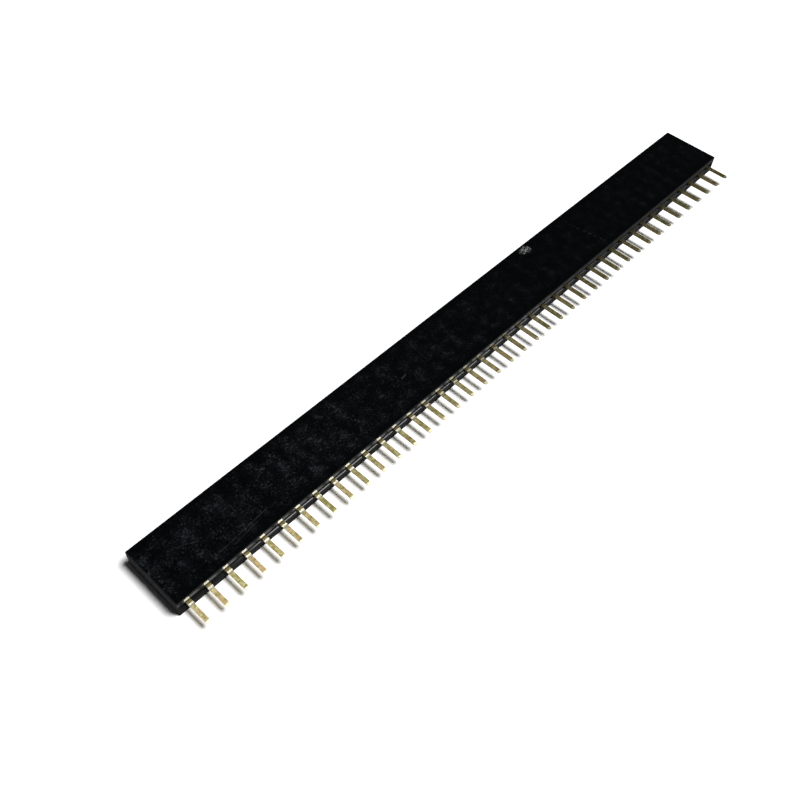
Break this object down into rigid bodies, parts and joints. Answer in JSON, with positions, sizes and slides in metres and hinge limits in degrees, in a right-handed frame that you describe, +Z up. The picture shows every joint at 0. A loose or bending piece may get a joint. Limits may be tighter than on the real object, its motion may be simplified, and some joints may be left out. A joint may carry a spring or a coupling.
{
  "type": "female pin header strip",
  "caption": "Straight single-row female pin header: a slim black moulded strip with a row of square sockets on one long face and flat gold-coloured solder tails on the other.",
  "frame": {"origin": "middle of the overall length and depth, housing and solder tails together, on the wide side of the housing that the strip lies on", "axes": "+X along the row of contacts, +Y towards the mating face with the sockets, so the solder tails point to -Y, +Z up through the thickness of the housing"},
  "size_m": [0.1018, 0.0118, 0.0025],
  "materials": {
    "housing_plastic": "near-black moulded thermoplastic with a fine grain, half gloss",
    "contact_metal": "pale gold-coloured plating on stamped copper alloy sheet, satin with bright coined tips"
  },
  "bodies": {
    "root": {"housing": "housing_plastic", "contact_01": "contact_metal", "contact_02": "contact_metal", "contact_03": "contact_metal", "contact_04": "contact_metal", "contact_05": "contact_metal", "contact_06": "contact_metal", "contact_07": "contact_metal", "contact_08": "contact_metal", "contact_09": "contact_metal", "contact_10": "contact_metal", "contact_11": "contact_metal", "contact_12": "contact_metal", "contact_13": "contact_metal", "contact_14": "contact_metal", "contact_15": "contact_metal", "contact_16": "contact_metal", "contact_17": "contact_metal", "contact_18": "contact_metal", "contact_19": "contact_metal", "contact_20": "contact_metal", "contact_21": "contact_metal", "contact_22": "contact_metal", "contact_23": "contact_metal", "contact_24": "contact_metal", "contact_25": "contact_metal", "contact_26": "contact_metal", "contact_27": "contact_metal", "contact_28": "contact_metal", "contact_29": "contact_metal", "contact_30": "contact_metal", "contact_31": "contact_metal", "contact_32": "contact_metal", "contact_33": "contact_metal", "contact_34": "contact_metal", "contact_35": "contact_metal", "contact_36": "contact_metal", "contact_37": "contact_metal", "contact_38": "contact_metal", "contact_39": "contact_metal", "contact_40": "contact_metal"}
  },
  "joints": []
}
